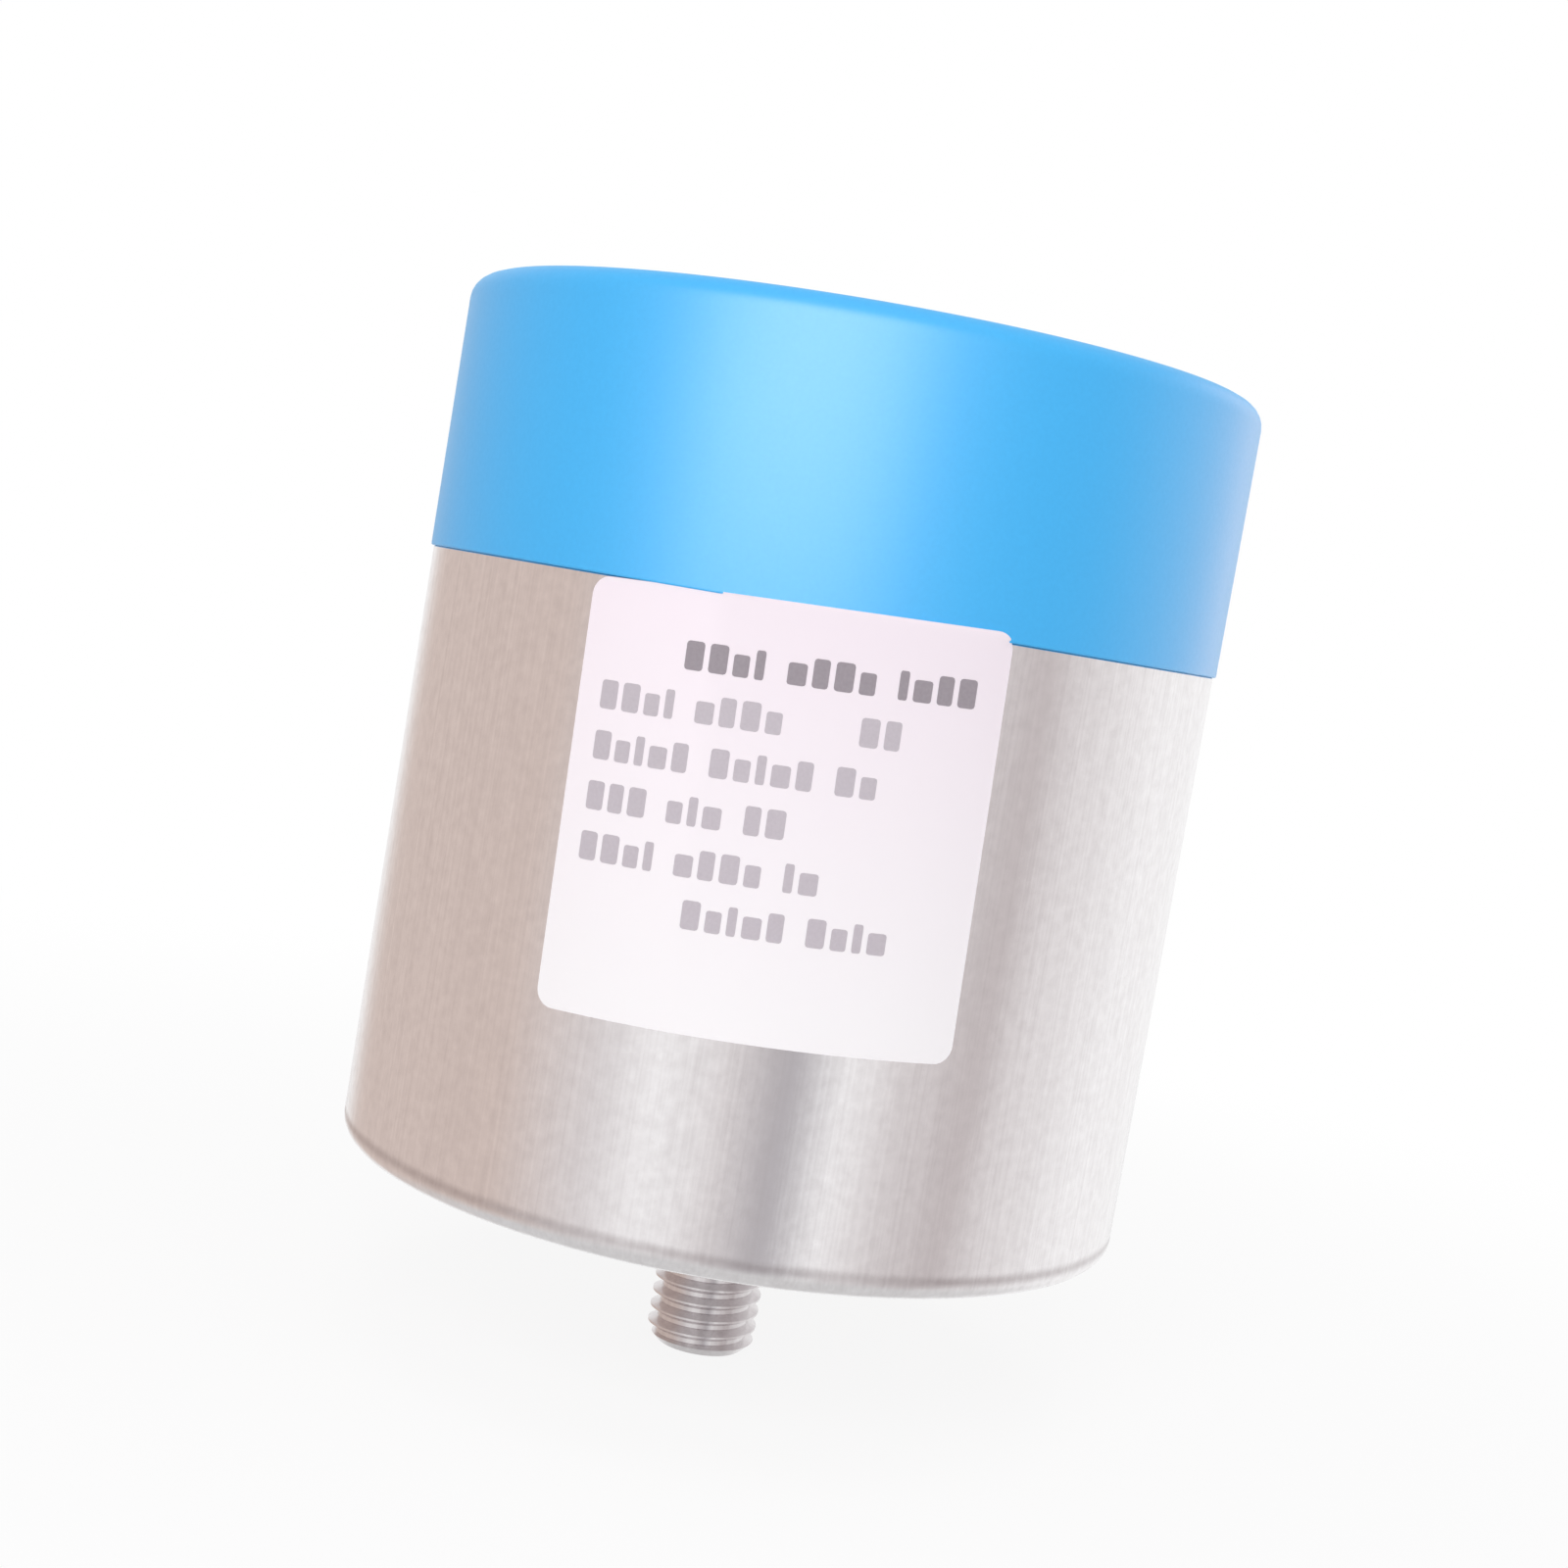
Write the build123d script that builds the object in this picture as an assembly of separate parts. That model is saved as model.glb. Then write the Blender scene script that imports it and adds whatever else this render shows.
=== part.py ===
from build123d import *

import math
import os

# Power film capacitor: a wound film element, potted with resin in a drawn aluminium can
# that has a screw stud in its base and a moulded terminal cap on its rim.
# Sizes are in millimetres.
#
# Frame: the origin is the centre of the can's base face. +Z runs up the can's axis to
# the terminals, the stud points along -Z, the label faces -Y, the terminals lie along X.

# Can and stud, one piece of aluminium
can_radius = 42.5
can_height = 63.4  # base face to rim
can_wall = 1.0
can_floor = 3.0
can_base_edge = 2.0  # outer rounding between base and wall
can_floor_fillet = 0.5  # inner rounding between floor and wall
can_rim_edge = 0.2
stud_radius = 6.0  # M12, over the thread's crests
stud_neck_radius = 5.4  # plain shank between base and thread
stud_neck_length = 3.0
stud_length = 19.0  # base face to the stud's end
stud_chamfer = 1.2
stud_root_fillet = 0.8

# Terminal cap
cap_step = 0.3  # how far the cap stands proud of the can's wall
cap_height = 28.7  # can's rim to the cap's top
cap_edge = 2.4  # rounding of the top outer edge
cap_skirt_edge = 0.2
cap_rim_width = 5.0
cap_rim_inner_edge = 0.8
cap_recess = 3.0  # deck below the rim
cap_deck = 4.0  # deck thickness
spigot_length = 8.0  # how far the cap plugs into the can
spigot_wall = 2.9
spigot_clearance = 0.1
boss_wall = 1.3  # round the corners of the pocket below it
boss_edge = 0.8
barrier_width = 2.0  # rib between the terminals

# Sealing ring in the spigot's groove
seal_groove_depth = 1.5
seal_groove_width = 2.4
seal_side_clearance = 0.1
seal_edge = 0.5

# Terminals, with a female M8 thread
terminal_spacing = 32.0
terminal_rise = 2.0  # contact face above the cap's rim
terminal_neck_radius = 8.0
terminal_hex_across_flats = 20.0
terminal_body_radius = 7.0
terminal_floor = 1.0  # metal under the drilled hole
terminal_fit = 0.1  # clearance round neck and hexagon
terminal_edge = 0.5
thread_hole_radius = 3.4  # tapping size of M8
thread_hole_depth = 14.0
thread_mouth_radius = 4.25
drill_point_angle = 118.0
tenon_radius = 2.5
tenon_head_radius = 3.8
tenon_head_height = 0.8

# Filling hole and its plug, behind the right terminal
plug_radius = 4.0
plug_fit = 0.05
plug_head_radius = 6.0
plug_head_height = 1.2
plug_head_edge = 0.5
plug_rim_margin = 1.5
plug_bearing = 64.0  # degrees from +X towards +Y

# Insulation in the can
base_insulator_thickness = 1.0
wall_insulator_thickness = 0.8
lining_clearance = 0.2

# Wound element
winding_headroom = 5.3  # can's rim down to the top of the wound element
winding_wrap_thickness = 0.4
contact_layer_thickness = 0.8
core_radius = 8.0
core_bore_radius = 5.0

# Connecting strips
strip_thickness = 0.5
strip_width = 10.0
strip_bend = 1.0  # inside radius
strip_clearance = 0.2
strip_foot_start = 10.0  # foot's inner end, from the axis
strip_arm_reach = 5.0  # arm's end past the terminal's axis
upper_riser_inset = 6.0  # upper strip's riser, in from the roll's edge
sleeve_thickness = 0.4
sleeve_end_gap = 1.5  # from each bend to the sleeve's end
solder_radius = 2.5
solder_per_strip = 2

# Label
label_width = 41.0  # along the can's wall
label_height = 41.0
label_corner = 1.8
label_thickness = 0.15
label_tilt = 1.6  # degrees, right-hand side higher
label_lap = 0.9  # how far the highest corner laps over the cap's skirt
label_climb = 0.5  # below the rim, where the film leaves the can's wall

# Levels, from the base face up
cap_top = can_height + cap_height
deck_top = cap_top - cap_recess
deck_low = deck_top - cap_deck
spigot_low = can_height - spigot_length
base_insulator_top = can_floor + base_insulator_thickness
lower_layer_low = base_insulator_top + strip_thickness
winding_low = lower_layer_low + contact_layer_thickness
upper_layer_top = can_height - winding_headroom
winding_top = upper_layer_top - contact_layer_thickness
terminal_face = cap_top + terminal_rise
thread_hole_floor = terminal_face - thread_hole_depth
drill_point = thread_hole_radius / math.tan(math.radians(drill_point_angle / 2))
terminal_body_low = thread_hole_floor - drill_point - terminal_floor
arm_low = terminal_body_low - strip_thickness

# Radii and places, from the wall inwards
cap_radius = can_radius + cap_step
can_bore = can_radius - can_wall
spigot_radius = can_bore - spigot_clearance
cap_bore = spigot_radius - spigot_wall
recess_radius = cap_radius - cap_rim_width
wall_insulator_radius = can_bore - lining_clearance
wall_insulator_bore = wall_insulator_radius - wall_insulator_thickness
base_insulator_radius = can_bore - can_floor_fillet
sleeve_half_width = strip_width / 2 + sleeve_thickness
sleeve_outer_x = math.sqrt((cap_bore - strip_clearance) ** 2 - sleeve_half_width**2)
lower_riser_x = sleeve_outer_x - sleeve_thickness - strip_thickness / 2
wrap_radius = lower_riser_x - strip_thickness / 2 - sleeve_thickness - strip_clearance
winding_radius = wrap_radius - winding_wrap_thickness
upper_riser_x = wrap_radius - upper_riser_inset
terminal_x = terminal_spacing / 2
pocket_across_flats = terminal_hex_across_flats + 2 * terminal_fit
boss_radius = pocket_across_flats / math.sqrt(3) + boss_wall
groove_bottom_radius = spigot_radius - seal_groove_depth
groove_centre = can_height - spigot_length / 2
plug_place_radius = recess_radius - plug_head_radius - plug_rim_margin
plug_x = plug_place_radius * math.cos(math.radians(plug_bearing))
plug_y = plug_place_radius * math.sin(math.radians(plug_bearing))


def disc(radius, low, high, x=0.0, y=0.0):
    """Round bar along Z between two heights."""
    return Pos(x, y, (low + high) / 2) * Cylinder(radius, high - low)


def tube(outer, inner, low, high):
    """Round tube about the Z axis between two heights."""
    return disc(outer, low, high) - disc(inner, low, high)


def turned(outline):
    """Solid of revolution about Z from (radius, height) points."""
    points = [(radius, 0, height) for radius, height in outline]
    return revolve(make_face(Polyline(*points, close=True)), Axis.Z)


def ring_edges(shape, radius, height):
    """The shape's round edges of this radius at this height."""
    return [
        edge
        for edge in shape.edges().filter_by(GeomType.CIRCLE)
        if math.isclose(edge.radius, radius, abs_tol=1e-4)
        and math.isclose(edge.center().Z, height, abs_tol=1e-4)
    ]


def make_can():
    """Cup with a thick floor, and the stud that is drawn from the same slug."""
    runout = stud_radius - stud_neck_radius
    can = turned([
        (0, -stud_length),
        (stud_radius - stud_chamfer, -stud_length),
        (stud_radius, -stud_length + stud_chamfer),
        (stud_radius, -stud_neck_length - runout),
        (stud_neck_radius, -stud_neck_length),
        (stud_neck_radius, 0),
        (can_radius, 0),
        (can_radius, can_height),
        (can_bore, can_height),
        (can_bore, can_floor),
        (0, can_floor),
    ])
    can = fillet(ring_edges(can, can_radius, 0), can_base_edge)
    can = fillet(ring_edges(can, can_bore, can_floor), can_floor_fillet)
    can = fillet(ring_edges(can, stud_neck_radius, 0), stud_root_fillet)
    return chamfer(ring_edges(can, can_radius, can_height), can_rim_edge)


def cap_shell():
    """Skirt, spigot, rim and deck of the terminal cap, before its details."""
    shell = turned([
        (cap_bore, spigot_low),
        (spigot_radius, spigot_low),
        (spigot_radius, can_height),
        (cap_radius, can_height),
        (cap_radius, cap_top),
        (recess_radius, cap_top),
        (recess_radius, deck_top),
        (0, deck_top),
        (0, deck_low),
        (cap_bore, deck_low),
    ])
    shell = fillet(ring_edges(shell, cap_radius, cap_top), cap_edge)
    shell = fillet(ring_edges(shell, recess_radius, cap_top), cap_rim_inner_edge)
    return chamfer(ring_edges(shell, cap_radius, can_height), cap_skirt_edge)


def terminal_hexagon(across_flats):
    """Hexagonal flange of a terminal, or the pocket in the deck that holds it."""
    outline = RegularPolygon(across_flats / 2, 6, major_radius=False)
    return Pos(0, 0, deck_low) * extrude(outline, cap_deck)


def make_top_cap():
    """Terminal cap: shell, two bosses, the barrier between them, and its holes."""
    cap = cap_shell()
    barrier = Box(barrier_width, 2 * recess_radius, cap_recess)
    barrier = Pos(0, 0, (deck_top + cap_top) / 2) * barrier
    cap += barrier & disc(recess_radius + cap_rim_inner_edge, deck_top, cap_top)
    pocket = terminal_hexagon(pocket_across_flats)
    for x in (-terminal_x, terminal_x):
        boss = disc(boss_radius, deck_top, cap_top)
        boss = fillet(ring_edges(boss, boss_radius, cap_top), boss_edge)
        boss -= disc(terminal_neck_radius + terminal_fit, deck_top, cap_top)
        cap = cap + Pos(x, 0, 0) * boss - Pos(x, 0, 0) * pocket
    cap -= disc(plug_radius, deck_low, deck_top, plug_x, plug_y)
    groove_low = groove_centre - seal_groove_width / 2
    groove_high = groove_centre + seal_groove_width / 2
    return cap - tube(can_bore, groove_bottom_radius, groove_low, groove_high)


def make_seal_ring():
    """Rubber ring, squeezed between the groove's floor and the can's bore."""
    half_width = seal_groove_width / 2 - seal_side_clearance
    low, high = groove_centre - half_width, groove_centre + half_width
    ring = tube(can_bore, groove_bottom_radius, low, high)
    edges = [
        edge
        for radius in (can_bore, groove_bottom_radius)
        for height in (low, high)
        for edge in ring_edges(ring, radius, height)
    ]
    return fillet(edges, seal_edge)


def make_terminal(x):
    """Terminal with a threaded blind hole, hexagonal flange and swaged tenon."""
    mouth_depth = thread_mouth_radius - thread_hole_radius
    terminal = turned([
        (0, arm_low - tenon_head_height),
        (tenon_head_radius, arm_low - tenon_head_height),
        (tenon_head_radius, arm_low),
        (tenon_radius, arm_low),
        (tenon_radius, terminal_body_low),
        (terminal_body_radius, terminal_body_low),
        (terminal_body_radius, deck_low),
        (terminal_neck_radius, deck_low),
        (terminal_neck_radius, terminal_face - terminal_edge),
        (terminal_neck_radius - terminal_edge, terminal_face),
        (thread_mouth_radius, terminal_face),
        (thread_hole_radius, terminal_face - mouth_depth),
        (thread_hole_radius, thread_hole_floor),
        (0, thread_hole_floor - drill_point),
    ])
    flange = terminal_hexagon(terminal_hex_across_flats)
    flange -= disc(terminal_neck_radius, deck_low, deck_top)
    return Pos(x, 0, 0) * (terminal + flange)


def make_fill_plug():
    """Plug with a flat head, driven into the filling hole."""
    plug = disc(plug_radius - plug_fit, deck_low, deck_top)
    head = disc(plug_head_radius, deck_top, deck_top + plug_head_height)
    head_edge = ring_edges(head, plug_head_radius, deck_top + plug_head_height)
    return Pos(plug_x, plug_y, 0) * (plug + fillet(head_edge, plug_head_edge))


def make_base_insulator():
    """Insulating disc on the can's floor."""
    return disc(base_insulator_radius, can_floor, base_insulator_top)


def make_wall_insulator():
    """Insulating tube that stands on the disc and ends at the cap's spigot."""
    return tube(wall_insulator_radius, wall_insulator_bore, base_insulator_top, spigot_low)


def make_winding_core():
    """Plastic tube that the film is wound on."""
    return tube(core_radius, core_bore_radius, winding_low, winding_top)


def make_winding():
    """Roll of metallised film, all its turns as one solid."""
    return tube(winding_radius, core_radius, winding_low, winding_top)


def make_winding_wrap():
    """Plain film wrapped round the roll."""
    return tube(wrap_radius, winding_radius, winding_low, winding_top)


def make_contact_layer(low):
    """Sprayed zinc over one end face of the roll."""
    return tube(winding_radius, core_bore_radius, low, low + contact_layer_thickness)


def solder_places(riser_x):
    """Distances from the axis at which a strip's foot is soldered, evenly spaced."""
    pitch = (riser_x - strip_foot_start) / (solder_per_strip + 1)
    return [strip_foot_start + pitch * (step + 1) for step in range(solder_per_strip)]


def make_strip(riser_x, foot_low):
    """Strip with a soldered foot, a riser and an arm under a terminal, towards +X."""
    half = strip_thickness / 2
    foot, arm = foot_low + half, arm_low + half
    corners = [
        (strip_foot_start, 0, foot),
        (riser_x, 0, foot),
        (riser_x, 0, arm),
        (terminal_x - strip_arm_reach, 0, arm),
    ]
    path = FilletPolyline(*corners, radius=strip_bend + half)
    section = Plane(corners[0], x_dir=(0, 1, 0), z_dir=(1, 0, 0))
    strip = sweep(section * Rectangle(strip_width, strip_thickness), path=path)
    strip -= disc(tenon_radius, arm_low, terminal_body_low, terminal_x)
    for x in solder_places(riser_x):
        strip -= disc(solder_radius, foot_low, foot_low + strip_thickness, x)
    return strip


def make_lower_strip():
    """Strip from under the roll, up its side, to the right terminal."""
    return make_strip(lower_riser_x, base_insulator_top)


def make_upper_strip():
    """Strip from the top of the roll to the left terminal."""
    return Rot(0, 0, 180) * make_strip(upper_riser_x, upper_layer_top)


def make_strip_insulator():
    """Flat sleeve on the lower strip, where it passes the roll's live edges."""
    low = lower_layer_low + strip_bend + sleeve_end_gap
    high = arm_low - strip_bend - sleeve_end_gap
    outer = Box(strip_thickness + 2 * sleeve_thickness, 2 * sleeve_half_width, high - low)
    inner = Box(strip_thickness, strip_width, high - low)
    return Pos(lower_riser_x, 0, (low + high) / 2) * (outer - inner)


def make_solder_joints():
    """Solder in the holes of both feet, down to the zinc."""
    low, high = base_insulator_top, lower_layer_low
    joints = [disc(solder_radius, low, high, x) for x in solder_places(lower_riser_x)]
    low, high = upper_layer_top, upper_layer_top + strip_thickness
    joints += [disc(solder_radius, low, high, -x) for x in solder_places(upper_riser_x)]
    return Compound(joints)


def make_resin_fill(embedded):
    """Resin that fills can and cap round everything it embeds."""
    resin = disc(wall_insulator_bore, base_insulator_top, spigot_low)
    resin += disc(cap_bore, spigot_low, deck_low)
    for x in (-terminal_x, terminal_x):
        resin -= disc(terminal_body_radius, terminal_body_low, deck_low, x)
    for piece in embedded:
        resin -= piece
    return resin


def label_film():
    """Film all round the can, climbing from its wall over the step to the cap's skirt."""
    step_top = can_height + cap_skirt_edge
    film_top = can_height + cap_edge + label_lap
    inner_line = [
        (can_radius, 0),
        (can_radius, can_height - label_climb),
        (cap_radius, step_top),
        (cap_radius, film_top),
    ]
    outer_line = [(radius + label_thickness, height) for radius, height in inner_line]
    return turned(inner_line + outer_line[::-1])


def make_label():
    """Thin film on the can's wall and over the cap's lower edge: a tilted rounded sheet."""
    half_angle = label_width / 2 / can_radius
    seen_width = 2 * can_radius * math.sin(half_angle)
    outline = RectangleRounded(seen_width, label_height, label_corner)
    outline = Rot(0, 0, label_tilt) * outline
    centre_height = can_height + label_lap - outline.bounding_box().max.Y
    front = Plane((0, 0, centre_height), x_dir=(1, 0, 0), z_dir=(0, -1, 0))
    cutter = extrude(front * outline, 2 * can_radius)
    return label_film() & cutter


def make_parts():
    """Every sub-part by name."""
    element = {
        "winding_core": make_winding_core(),
        "winding": make_winding(),
        "winding_wrap": make_winding_wrap(),
        "contact_layer_lower": make_contact_layer(lower_layer_low),
        "contact_layer_upper": make_contact_layer(winding_top),
        "lower_strip": make_lower_strip(),
        "upper_strip": make_upper_strip(),
        "strip_insulator": make_strip_insulator(),
        "solder_joints": make_solder_joints(),
        "terminal_left": make_terminal(-terminal_x),
        "terminal_right": make_terminal(terminal_x),
    }
    return {
        "can": make_can(),
        "base_insulator": make_base_insulator(),
        "wall_insulator": make_wall_insulator(),
        **element,
        "resin_fill": make_resin_fill(element.values()),
        "seal_ring": make_seal_ring(),
        "top_cap": make_top_cap(),
        "fill_plug": make_fill_plug(),
        "label": make_label(),
    }


os.makedirs("parts", exist_ok=True)
for name, shape in make_parts().items():
    export_step(shape, f"parts/{name}.step")
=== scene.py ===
"""Looks of a power film capacitor: aluminium can with a stud, blue terminal cap, label.

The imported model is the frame: every size and place that it holds is read from it. The
frame is in metres, and the sizes named in this file are in millimetres. +Z runs from the
stud to the terminals, and the label faces -Y.
"""

import logging
import math
from dataclasses import dataclass
from enum import Enum
from typing import Any, Callable, Sequence

import bmesh
import bpy
from mathutils import Matrix, Vector


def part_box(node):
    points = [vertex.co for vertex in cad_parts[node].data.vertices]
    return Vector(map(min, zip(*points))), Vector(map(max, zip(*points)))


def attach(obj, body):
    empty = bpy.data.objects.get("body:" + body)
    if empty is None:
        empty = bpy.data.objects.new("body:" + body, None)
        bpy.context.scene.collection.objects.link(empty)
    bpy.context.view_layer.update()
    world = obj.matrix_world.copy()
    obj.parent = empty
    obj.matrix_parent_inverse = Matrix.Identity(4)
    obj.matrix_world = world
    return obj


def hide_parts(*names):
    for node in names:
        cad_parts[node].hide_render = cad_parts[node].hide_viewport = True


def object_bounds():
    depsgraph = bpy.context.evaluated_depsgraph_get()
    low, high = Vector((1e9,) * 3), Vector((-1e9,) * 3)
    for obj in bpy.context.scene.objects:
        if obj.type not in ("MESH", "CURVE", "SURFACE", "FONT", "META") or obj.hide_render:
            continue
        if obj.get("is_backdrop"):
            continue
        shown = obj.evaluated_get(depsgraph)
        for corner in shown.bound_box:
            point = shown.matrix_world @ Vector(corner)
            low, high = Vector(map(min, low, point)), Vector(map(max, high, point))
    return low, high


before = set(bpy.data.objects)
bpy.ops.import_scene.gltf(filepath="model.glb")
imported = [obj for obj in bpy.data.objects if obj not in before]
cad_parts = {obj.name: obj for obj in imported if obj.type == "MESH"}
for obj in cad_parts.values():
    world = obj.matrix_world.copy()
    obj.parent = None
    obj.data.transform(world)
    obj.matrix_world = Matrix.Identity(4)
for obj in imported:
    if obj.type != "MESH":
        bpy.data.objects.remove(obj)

MM = 0.001
BODY = "root"
FULL_TURN = 2.0 * math.pi
HEXAGON = 6  # sides
NEAR = 1e-6  # metres
LEAD_IN = 1.5  # turns that a thread runs past each end before it is cut off
log = logging.getLogger("film_capacitor")

Piece = bpy.types.Object
Tree = bpy.types.NodeTree
Socket = bpy.types.NodeSocket
Place = tuple[float, float]
Size = tuple[float, float, float]

ADD = {"operation": "ADD"}
SUBTRACT = {"operation": "SUBTRACT"}
MULTIPLY = {"operation": "MULTIPLY"}
MULTIPLY_ADD = {"operation": "MULTIPLY_ADD"}
SMOOTH = {"interpolation_type": "SMOOTHSTEP"}
NUMBERS = {"data_type": "FLOAT"}
COLOURS = {"data_type": "RGBA"}


class Domain(Enum):
    """What a selection in edit mode is made of."""

    VERTS = (True, False, False)
    EDGES = (False, True, False)


class Cut(Enum):
    """How one body is combined with another."""

    JOIN = "UNION"
    REMOVE = "DIFFERENCE"
    KEEP_COMMON = "INTERSECT"


# ---------------------------------------------------------------- modelling


@dataclass(frozen=True)
class Station:
    """One ring of a turned outline, in millimetres.

    Attributes:
        radius: distance from the axis.
        height: place along the axis.
        rounding: size of the fillet on this ring, or 0 for a sharp edge.
    """

    radius: float
    height: float
    rounding: float = 0.0


@dataclass(frozen=True)
class Thread:
    """Form of a screw thread, in millimetres.

    Attributes:
        crest: largest radius.
        root: smallest radius.
        pitch: rise in one turn.
        crest_share: width of the flat crest, as a share of the pitch.
        flank_angle: half of the angle between the flanks, in degrees.
        segments: sides in one turn.
    """

    crest: float
    root: float
    pitch: float
    crest_share: float = 0.125
    flank_angle: float = 30.0
    segments: int = 72


def clear_selection() -> None:
    """Leave edit mode and deselect every object."""
    active = bpy.context.view_layer.objects.active
    if active is not None and active.mode != "OBJECT":
        bpy.ops.object.mode_set(mode="OBJECT")
    bpy.ops.object.select_all(action="DESELECT")


def activate(piece: Piece, edit: bool = False) -> None:
    """Make a piece the only selected object.

    Args:
        piece: the piece to work on.
        edit: whether to enter edit mode on it.
    """
    clear_selection()
    piece.select_set(True)
    bpy.context.view_layer.objects.active = piece
    if edit:
        bpy.ops.object.mode_set(mode="EDIT")


def pick(piece: Piece, domain: Domain, test: Callable[[Any], bool]) -> None:
    """Select the parts of a mesh in edit mode that pass a test, and nothing else.

    Args:
        piece: the piece in edit mode.
        domain: whether vertices or edges are selected.
        test: says of one vertex or edge whether it is selected.
    """
    bpy.context.tool_settings.mesh_select_mode = domain.value
    bpy.ops.mesh.select_all(action="DESELECT")
    shape = bmesh.from_edit_mesh(piece.data)
    for item in shape.verts if domain is Domain.VERTS else shape.edges:
        if test(item):
            item.select_set(True)
    shape.select_flush_mode()
    bmesh.update_edit_mesh(piece.data)


def settle() -> None:
    """Apply the active object's place to its mesh, so that the object sits at the origin."""
    bpy.ops.object.transform_apply(location=True, rotation=True, scale=True)


def face_outwards() -> None:
    """Merge doubled points of the mesh in edit mode and turn its faces outwards."""
    bpy.ops.mesh.select_all(action="SELECT")
    bpy.ops.mesh.remove_doubles(threshold=NEAR)
    bpy.ops.mesh.normals_make_consistent(inside=False)


def turn(
    name: str,
    stations: Sequence[Station],
    segments: int,
    centre: Place = (0.0, 0.0),
    rounding_steps: int = 5,
) -> Piece:
    """Turn a closed body about an upright axis, as on a lathe.

    Args:
        name: the new object's name.
        stations: rings of the outline in order; both ends are closed at the axis.
        segments: how many sides the body has.
        centre: place of the axis, in millimetres.
        rounding_steps: how many faces each fillet has.

    Returns:
        The new object.
    """
    clear_selection()
    x, y = centre[0] * MM, centre[1] * MM
    first = stations[0]
    bpy.ops.mesh.primitive_circle_add(
        vertices=segments,
        radius=first.radius * MM,
        fill_type="TRIFAN",
        location=(x, y, first.height * MM),
    )
    piece = bpy.context.object
    piece.name = name
    settle()
    bpy.ops.object.mode_set(mode="EDIT")
    axis = Vector((x, y))
    pick(piece, Domain.VERTS, lambda vert: (vert.co.xy - axis).length > NEAR)
    for last, station in zip(stations, stations[1:]):
        rise = (station.height - last.height) * MM
        bpy.ops.mesh.extrude_region_move(TRANSFORM_OT_translate={"value": (0, 0, rise)})
        growth = station.radius / last.radius
        bpy.ops.transform.resize(
            value=(growth, growth, 1.0), center_override=(x, y, station.height * MM)
        )
    bpy.ops.mesh.extrude_region_move(TRANSFORM_OT_translate={"value": (0, 0, 0)})
    bpy.ops.mesh.merge(type="CENTER")
    for station in stations:
        if station.rounding:
            round_ring(piece, station, axis, rounding_steps)
    face_outwards()
    bpy.ops.object.mode_set(mode="OBJECT")
    return piece


def round_ring(piece: Piece, station: Station, axis: Vector, steps: int) -> None:
    """Round one ring of edges of a turned body in edit mode.

    Args:
        piece: the turned body.
        station: the ring, with the size of its fillet.
        axis: place of the axis in metres.
        steps: how many faces the fillet has.
    """

    def on_ring(vert: bmesh.types.BMVert) -> bool:
        """Say whether a point lies on the ring."""
        off_radius = abs((vert.co.xy - axis).length - station.radius * MM)
        return off_radius < NEAR and abs(vert.co.z - station.height * MM) < NEAR

    pick(piece, Domain.EDGES, lambda edge: all(on_ring(vert) for vert in edge.verts))
    bpy.ops.mesh.bevel(offset=station.rounding * MM, segments=steps, affect="EDGES")


def combine(body: Piece, tool: Piece, cut: Cut) -> None:
    """Join a body with another, or cut it with another, which is used up.

    Args:
        body: the body that stays.
        tool: the body that is joined on or cut with.
        cut: how the two are combined.
    """
    activate(body)
    step = body.modifiers.new("cut", "BOOLEAN")
    step.operation = cut.value
    step.object = tool
    step.solver = "EXACT"
    bpy.ops.object.modifier_apply(modifier=step.name)
    bpy.data.objects.remove(tool)


def slice_off(piece: Piece, point: Vector, outwards: Vector) -> None:
    """Cut away what lies beyond a plane, and close the cut.

    Args:
        piece: the piece that is cut.
        point: a point on the plane, in metres.
        outwards: the side that goes.
    """
    activate(piece, edit=True)
    bpy.ops.mesh.select_all(action="SELECT")
    bpy.ops.mesh.bisect(plane_co=point, plane_no=outwards, use_fill=True, clear_outer=True)
    bpy.ops.object.mode_set(mode="OBJECT")


def divide(piece: Piece, across: tuple[int, int, int], places: Sequence[float]) -> None:
    """Divide a flat sheet with straight cuts.

    Args:
        piece: the sheet.
        across: the direction that the cuts follow one another in.
        places: how far along that direction each cut lies, in millimetres.
    """
    activate(piece, edit=True)
    for place in places:
        bpy.ops.mesh.select_all(action="SELECT")
        point = [share * place * MM for share in across]
        bpy.ops.mesh.bisect(plane_co=point, plane_no=across)
    bpy.ops.object.mode_set(mode="OBJECT")


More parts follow.
